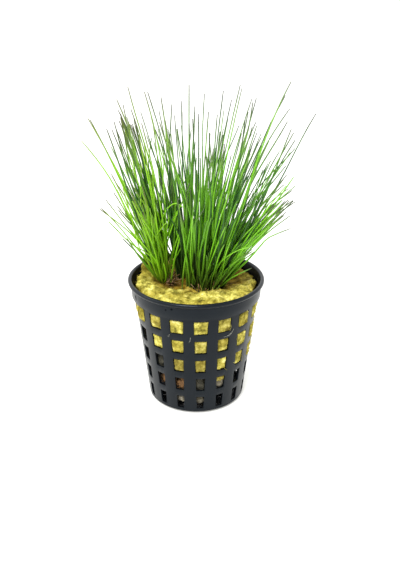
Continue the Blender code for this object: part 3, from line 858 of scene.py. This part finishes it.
def fine_path(stand):
    """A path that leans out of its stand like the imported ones, though some cross the rest."""
    while True:
        reach, turn = math.sqrt(rng.random()), rng.uniform(0, math.tau)
        root = on_wool(
            stand["centre"][0] + stand["radii"][0] * reach * math.cos(turn),
            stand["centre"][1] + stand["radii"][1] * reach * math.sin(turn),
        )
        stray = WILD_STRAY if rng.random() < WILD_SHARE else STRAY
        lean = Vector((
            FAN_GAIN * (root.x / MM - FAN_CENTRE[0]) + rng.gauss(0, stray),
            FAN_GAIN * (root.y / MM - FAN_CENTRE[1]) + rng.gauss(0, stray),
            1.0,
        ))
        tip = root + lean * ((56 + 50 * rng.random() ** 1.5) * MM - root.z)
        if in_plume(tip):
            return bowed(root, tip)


def sheaf_path(roots, tips, spread):
    """A path from near one place on the wool to near another in the air."""
    root = on_wool(roots[0] + rng.gauss(0, 1.6), roots[1] + rng.gauss(0, 1.6))
    tip = Vector(tips) + Vector((rng.gauss(0, 0.7), rng.gauss(0, 0.7), rng.gauss(0, 1.0))) * spread
    return bowed(root, tip * MM)


# %% [markdown]
# A culm is smooth living tissue under a thin coat of wax. Two ramps run along the stem, a deep green and
# a fresh one that is pale at its root. Both turn grey at the tip, and each stem has its own tone between
# them. The foot of the right stand is darker, because little light gets in there: that is painted shade.
# Painted light makes the culms towards the left brighter and yellower, those towards the right darker and
# greener.

# %% Culm material
DARK_FOOT = Vector((4.5, -4.0, 50.0))
UP_THE_STEM = (0.0, 0.06, 0.3, 0.7, 0.88, 1.0)
DEEP_GREEN = tuple(zip(UP_THE_STEM, ("#39490c", "#183e04", "#123604", "#265c0a", "#41602a", "#3e3d3c")))
FRESH_GREEN = tuple(zip(UP_THE_STEM, ("#dadd84", "#a2c63c", "#8ac824", "#94d02e", "#83a24c", "#5c5850")))
PAINTED_LIGHT_LEFT_TO_RIGHT = ((0.0, "#ffffb8"), (1.0, "#dcf2d8"))
STREAKS = ((0.35, "#cdd6b4"), (0.65, "#ffffff"))
DRY = ((0.0, "#22100b"), (0.5, "#4a2a1c"), (1.0, "#96704e"))


def living_culm():
    """Living green stem with a thin waxy skin: fresh green, pale at its root, grey-green at its tip."""
    made, tree, shader = new_material("living_green_culm")
    along, tone, age = (
        add(tree, "ShaderNodeAttribute", {"attribute_name": name}).outputs["Fac"]
        for name in ("along", "tone", "age")
    )
    place = add(tree, "ShaderNodeTexCoord").outputs["Object"]
    across = add(tree, "ShaderNodeSeparateXYZ", Vector=place).outputs["X"]
    # Painted light: culms towards the left are tinted brighter and yellower, those towards the right darker
    # and greener.
    side = add(tree, "ShaderNodeMapRange", Value=across, From_Min=-18 * MM, From_Max=-4 * MM).outputs[0]
    colour, fresh, painted_side_light, streak, dry = (
        add(tree, "ShaderNodeValToRGB", {"stops": stops}, Fac=factor).outputs[0]
        for stops, factor in (
            (DEEP_GREEN, along), (FRESH_GREEN, along), (PAINTED_LIGHT_LEFT_TO_RIGHT, side),
            (STREAKS, grain(tree, 6 * MM, 3.0)), (DRY, along),
        )
    )
    # Painted shade: the green darkens round DARK_FOOT, at the foot of the right stand.
    gap = add(tree, "ShaderNodeVectorMath", {"operation": "DISTANCE"}, in0=place, in1=DARK_FOOT * MM)
    shade = add(
        tree, "ShaderNodeMapRange", Value=gap.outputs[1],
        From_Min=6 * MM, From_Max=20 * MM, To_Min=0.95, To_Max=0.0,
    ).outputs[0]
    less = add(tree, "ShaderNodeMath", {"operation": "MULTIPLY"}, in0=shade, in1=0.75).outputs[0]
    fresh = add(tree, "ShaderNodeMix", BLEND, in0=less, in6=fresh, in7=linear("#143006")).outputs[2]
    for way, share, layer in (
        (BLEND, shade, linear("#061002")), (BLEND, tone, fresh), (TINT, 1.0, painted_side_light), (TINT, 0.7, streak),
        (BLEND, age, dry),
    ):
        colour = add(tree, "ShaderNodeMix", way, in0=share, in6=colour, in7=layer).outputs[2]
    tree.links.new(colour, shader.inputs["Base Color"])
    relief(tree, shader, 0.5 * MM, 0.03 * MM, 0.4, 2.0)
    shader.inputs["Roughness"].default_value = 0.4
    shader.inputs["Specular IOR Level"].default_value = 0.42
    return made


# %% Culm pieces
TALL_FROM = 98
CUT_BACK = (0.5, 0.88)
culm_material = living_culm()


def stand_of(name):
    """The stand whose centre is nearest to a tuft's crown."""
    root = sum((path[0] for path in paths_of[name]), Vector()) / len(paths_of[name]) / MM
    return min(STANDS, key=lambda stand: math.dist(STANDS[stand]["centre"], root[:2]))


def toned(light, sway):
    return min(1.0, max(0.0, rng.gauss(light, sway)))


def stand_lines(stand, names):
    """All culms of a stand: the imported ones, some cut back, finer ones between, sheaves and arched ones."""
    habit = STANDS[stand]
    lines = []
    for name in names:
        for root, knee, tip in paths_of[name]:
            tall = ease((tip.z / MM - TALL_FROM) / 20)
            reach = 1.0 if rng.random() < 0.5 + 0.5 * tall else rng.uniform(*CUT_BACK)
            stray = Vector((rng.gauss(0, 2.4), rng.gauss(0, 2.4), 0)) * (1 - tall) * MM
            bend = Vector((rng.gauss(0, 1.6), rng.gauss(0, 1.6), 0)) * MM
            path = gathered(root, habit), root.lerp(knee, reach) + bend, root.lerp(tip, reach) + stray
            girth = CULM_RADIUS * rng.uniform(0.5 + 0.3 * tall, 1.15)
            line = culm_line(path, girth, 0.84 + 0.16 * tall)
            lines.append((line, toned(habit["light"], 0.5), 0.0))
    for _ in range(habit["fine"]):
        line = culm_line(fine_path(habit), CULM_RADIUS * rng.uniform(0.5, 0.95), 0.85)
        lines.append((line, toned(habit["light"], 0.5), 0.0))
    for owner, roots, tips, spread, count, light in SHEAVES:
        for _ in range(count if owner == stand else 0):
            line = culm_line(sheaf_path(roots, tips, spread), CULM_RADIUS * rng.uniform(0.7, 1.1))
            lines.append((line, toned(light, 0.15), 0.0))
    for owner, roots, knee, tip in ARCHED:
        if owner == stand:
            path = on_wool(*roots), Vector(knee) * MM, Vector(tip) * MM
            lines.append((culm_line(path, CULM_RADIUS * 0.6, 0.8), 1.0, 0.1))
    return lines


stands = {stand: [] for stand in STANDS}
for tuft in TUFTS:
    stands[stand_of(tuft)].append(tuft)
culms = {}
for stand, names in stands.items():
    culms[stand] = sweep(f"culms_{stand}", stand_lines(stand, names), culm_material)

# %% [markdown]
# Old growth stays on the plug between the stands: short dead sheaths, dark brown at the root and pale
# where they have dried out. They are swept like the culms.

# %% Dead sheaths
SHEATH_STEPS = 6
# Place and spread in mm, and how many
DEAD_PLACES = (((-10.0, -0.5), 1.2, 30), ((-9.8, 3.5), 1.5, 26), ((3.0, -7.0), 2.6, 8))


def dead_sheath(place, spread):
    """A short limp line that leans anywhere."""
    root = on_wool(place[0] + rng.gauss(0, spread * 0.5), place[1] + rng.gauss(0, spread * 0.5))
    aim = Vector((rng.gauss(0, 0.5), rng.gauss(-0.1, 0.5), rng.uniform(0.6, 1.5)))
    lean = aim * rng.uniform(1.6, 4.2) * MM
    curl = Vector((rng.gauss(0, 0.8), rng.gauss(0, 0.8), -0.6)) * MM
    radius = rng.uniform(0.16, 0.34) * MM
    line = []
    for step in range(SHEATH_STEPS):
        t = step / (SHEATH_STEPS - 1)
        line.append((root + lean * t + curl * t * t, radius * (1 - 0.5 * t), t))
    return line


sheaths = sweep(
    "dead_sheaths",
    [
        (dead_sheath(place, spread), 0.5, rng.uniform(0.75, 1.0))
        for place, spread, count in DEAD_PLACES for _ in range(count)
    ],
    culm_material,
)

# %% [markdown]
# The roots
#
# Under the plug the roots run round the wall, rust brown and tangled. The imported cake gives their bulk,
# and a few hundred swept threads that wander over it give the tangle.


# %% Root material
DARK_ROOT = ((0.35, "#2e2614"), (0.7, "#5c4222"))
LIGHT_ROOT = ((0.35, "#6a4a28"), (0.7, "#a07444"))
DARK_CLOD = ((0.35, "#1f1f15"), (0.7, "#3c3a2a"))
LIGHT_CLOD = ((0.35, "#6a624e"), (0.7, "#b0a894"))


def rusty_root():
    """Fine aquatic roots, matted and stained by iron: dull rust brown with darker hollows."""
    made, tree, shader = new_material("matted_rusty_root")
    tone, age = (
        add(tree, "ShaderNodeAttribute", {"attribute_name": name}).outputs["Fac"] for name in ("tone", "age")
    )
    blotch = grain(tree, 2.2 * MM, 4.0)
    dark, light, dark_clod, light_clod = (
        add(tree, "ShaderNodeValToRGB", {"stops": stops}, Fac=blotch).outputs[0]
        for stops in (DARK_ROOT, LIGHT_ROOT, DARK_CLOD, LIGHT_CLOD)
    )
    root = add(tree, "ShaderNodeMix", BLEND, in0=tone, in6=dark, in7=light).outputs[2]
    clod = add(tree, "ShaderNodeMix", BLEND, in0=tone, in6=dark_clod, in7=light_clod).outputs[2]
    colour = add(tree, "ShaderNodeMix", BLEND, in0=age, in6=root, in7=clod).outputs[2]
    tree.links.new(colour, shader.inputs["Base Color"])
    relief(tree, shader, 0.4 * MM, 0.3 * MM, 0.7)
    shader.inputs["Roughness"].default_value = 0.8
    return made


# %% Root pieces
ROOT_THREADS = 420
ROOTED_TURNS = (-190, -16)
THREAD_STEPS = 12
CAKE_BUMPS = ((0.35, 1.0), (1.2, 0.5))
root_material = rusty_root()
cake = make_object("root_cake", copied_shape("root_mat"), root_material)
skin = cake.modifiers.new("skin", "SUBSURF")
skin.levels = skin.render_levels = 3
apply_modifiers(cake)
for vert in cake.data.vertices:
    place = vert.co / MM
    out = Vector((place.x, place.y, 0)).normalized()
    rough = vert.normal * (0.6 * bumps(place, CAKE_BUMPS) * MM)
    vert.co += rough + out * (1.3 * ease(place.length / 18) * MM)


def root_thread():
    """A thread that wanders round the wall under the plug, rising and sinking a little."""
    turn = math.radians(rng.uniform(*ROOTED_TURNS))
    radius, drift, height = rng.uniform(16.2, 19.2), rng.uniform(-0.06, 0.06), rng.uniform(9.5, 16.0)
    line = []
    for step in range(THREAD_STEPS):
        turn += drift + rng.uniform(-0.04, 0.04)
        height = min(16.5, max(9.0, height + rng.uniform(-0.9, 0.9)))
        radius = min(wall_radius(height * MM) / MM - 1.3, radius + rng.uniform(-0.3, 0.3))
        point = around(radius * MM, turn, height * MM)
        point.z -= 0.07 * point.x
        line.append((point, rng.uniform(0.09, 0.16) * MM, step / (THREAD_STEPS - 1)))
    return line


thread_lines = [(root_thread(), rng.random(), 0.0) for _ in range(ROOT_THREADS)]
threads = sweep("root_threads", thread_lines, root_material, 5)

# %% [markdown]
# Some of the lower windows show a clod: rusty matted roots in two of them, old wool, grey and olive, in
# three more. The two pale grey clods in the lowest windows stand in for the lit inside of the pot behind
# them: painted light. Each is a ball pushed out of shape by noise.

# %% Root clods
# Column of the window, height in mm, how far inside the wall, half height, tone, how rotten
CLODS = (
    (-2, 13.2, 0.9, 2.7, 1.0, 0.0), (-1, 13.0, 0.9, 2.7, 0.85, 0.0),
    (0, 12.4, 1.0, 4.6, 0.12, 1.0), (1, 14.0, -0.1, 3.4, 0.7, 1.0), (-2.3, 21.0, 0.4, 3.8, 0.1, 1.0),
    # Painted light: these two pale grey clods stand in for the lit inside of the pot.
    (-1, 5.6, 0.6, 1.9, 0.75, 1.0), (0, 5.6, 0.6, 1.9, 0.7, 1.0),
)
CLOD_DEPTH = 1.5
CLOD_WIDTH = 2.4


def clod_shape():
    shape = bmesh.new()
    tones = shape.verts.layers.float.new("tone")
    ages = shape.verts.layers.float.new("age")
    for column, height, inside, tall, tone, age in CLODS:
        turn = FIRST_COLUMN_TURN + math.tau * column / COLUMNS
        deep = wall_radius(height * MM) - WALL_THICKNESS - (inside + CLOD_DEPTH) * MM
        place = around(deep, turn, height * MM)
        sizes = (CLOD_WIDTH, CLOD_DEPTH, tall)
        apart = Vector((column * 7, 0, 0))
        for vert in bmesh.ops.create_icosphere(shape, subdivisions=4, radius=1.0)["verts"]:
            bumpy = 1 + 0.3 * noise.noise(vert.co * 1.6 + apart) + 0.12 * noise.noise(vert.co * 5)
            vert.co = Vector([size * MM * bumpy * value for size, value in zip(sizes, vert.co)])
            vert.co = Matrix.Rotation(turn, 3, "Z") @ vert.co + place
            vert[tones], vert[ages] = tone, age
    return shape


clods = make_object("root_clods", clod_shape(), root_material)
print("root_clods", len(clods.data.polygons), "faces")

# %% [markdown]
# A few pale wisps of fibre have come out of the windows and cling to the wall.

# %% Wisps
WISP_STEPS = 8
WISP_RADIUS = 0.08 * MM
WISP_GAP = 0.25 * MM
PALE_FIBRE = ((0.35, "#4e5048"), (0.65, "#94948a"))
# Turn and height of both ends on the wall, in degrees and mm
WISPS = ((37, 38.6, 26, 36.2), (36, 37.9, 30, 36.4), (-25.0, 37.6, -27, 36.8), (-4.8, 37.2, -6.6, 35.2))


def wisp_line(first_turn, first_height, last_turn, last_height):
    line = []
    for step in range(WISP_STEPS):
        t = step / (WISP_STEPS - 1)
        turn = math.radians(first_turn + (last_turn - first_turn) * t)
        height = (first_height + (last_height - first_height) * t - 0.9 * math.sin(math.pi * t)) * MM
        point = around(wall_radius(height) + WISP_GAP, turn, height)
        line.append((point, WISP_RADIUS * (1.2 - 0.7 * t), t))
    return line


def drawn_fibre():
    """Loose rock fibre without binder: dull grey."""
    made, tree, shader = new_material("loose_mineral_fibre")
    pale = add(tree, "ShaderNodeValToRGB", {"stops": PALE_FIBRE}, Fac=grain(tree, 1.0 * MM, 3.0))
    tree.links.new(pale.outputs[0], shader.inputs["Base Color"])
    shader.inputs["Roughness"].default_value = 0.8
    return made


wisps = sweep("wool_wisps", [(wisp_line(*ends), 0.5, 0.0) for ends in WISPS], drawn_fibre(), 5)

# %% [markdown]
# Floor and light
#
# The photograph is a bright studio shot: all is white round the pot, and the shadow is only a breath of
# grey. A pale floor that glows a little all round the pot gives that, under a white sky. There is no glow
# under the middle of the pot, and it fades in across the pot's foot, which paints a soft shadow round it.
# The sky is dim above the camera's side, so the pot's front stays dark. A large lamp above the front gives
# the culms their shine and the lip its streak, and a weak one at the left lights the stems' edges.

# %% Stage
FLOOR_SIZE = 6.0
FLOOR_HEIGHT = -0.05 * MM
GLOW_FROM = 16 * MM
GLOW_FULL = 22 * MM
floor_shape = bmesh.new()
bmesh.ops.create_grid(floor_shape, x_segments=1, y_segments=1, size=FLOOR_SIZE)
floor_material, floor_tree, floor_shader = new_material("lit_white_acrylic_table")
floor_shader.inputs["Base Color"].default_value = linear("#c4c4c2")
floor_shader.inputs["Roughness"].default_value = 0.9
floor_shader.inputs["Specular IOR Level"].default_value = 0.1
floor_shader.inputs["Emission Color"].default_value = linear("#fffff8")
from_middle = add(
    floor_tree, "ShaderNodeVectorMath", {"operation": "LENGTH"},
    in0=add(floor_tree, "ShaderNodeTexCoord").outputs["Object"],
).outputs["Value"]
# Painted shadow: no glow under the middle of the pot, fading in across its foot.
glow = add(
    floor_tree, "ShaderNodeMapRange", {"interpolation_type": "SMOOTHSTEP"}, Value=from_middle,
    From_Min=GLOW_FROM, From_Max=GLOW_FULL, To_Min=0.0, To_Max=0.46,
)
floor_tree.links.new(glow.outputs[0], floor_shader.inputs["Emission Strength"])
floor = make_object("floor", floor_shape, floor_material)
floor.data.transform(Matrix.Translation((0, 0, FLOOR_HEIGHT)))

# %% Light
LIT_SPOT = Vector((0, 0, 0.07))
world = bpy.data.worlds.new("studio")
world.use_nodes = True
bpy.context.scene.world = world
sky = world.node_tree
towards = add(sky, "ShaderNodeSeparateXYZ", Vector=add(sky, "ShaderNodeTexCoord").outputs["Generated"])
front, horizon = (
    add(
        sky, "ShaderNodeMapRange", {"interpolation_type": "SMOOTHSTEP"}, Value=towards.outputs[axis],
        From_Min=start, From_Max=end, To_Min=first, To_Max=last,
    ).outputs[0]
    for axis, start, end, first, last in (("Y", -0.95, -0.3, 0.08, 1.6), ("Z", 0.12, 0.25, 1.6, 0.0))
)
strength = add(sky, "ShaderNodeMath", {"operation": "MAXIMUM"}, in0=front, in1=horizon)
sky.links.new(strength.outputs[0], sky.nodes["Background"].inputs["Strength"])
sky.nodes["Background"].inputs["Color"].default_value = linear("#ffffff")


def lamp(name, place, size, watts):
    """A square soft light that looks at the plant."""
    data = bpy.data.lights.new(name, "AREA")
    data.size = size
    data.energy = watts
    made = bpy.data.objects.new(name, data)
    made.location = place
    made.rotation_euler = (LIT_SPOT - Vector(place)).to_track_quat("-Z", "Y").to_euler()
    bpy.context.scene.collection.objects.link(made)
    print(name, "lamp of", watts, "W")


lamp("key", (-0.22, -0.62, 0.86), 0.4, 13.0)
lamp("side", (-0.8, 0.1, 0.7), 0.3, 3.0)
bpy.context.scene.view_settings.view_transform = "Standard"

# %% [markdown]
# Hand over
#
# Each piece rides on the model's one body and says which imported solids it stands for.

# %% Ride and replace
for piece, slot_name, solids in (
    (pot, "pot_plastic", ["net_pot"]),
    (wool, "mineral_wool", ["rock_wool"]),
    (cake, "roots", ["root_mat"]),
    (threads, "roots", []),
    (clods, "roots", []),
    (wisps, "mineral_wool", []),
    (sheaths, "culms", []),
    *((culms[stand], "culms", tufts) for stand, tufts in stands.items()),
):
    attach(piece, "root")
    if solids:
        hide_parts(*solids)
    print(piece.name, "stands for", len(solids), "packed solids")
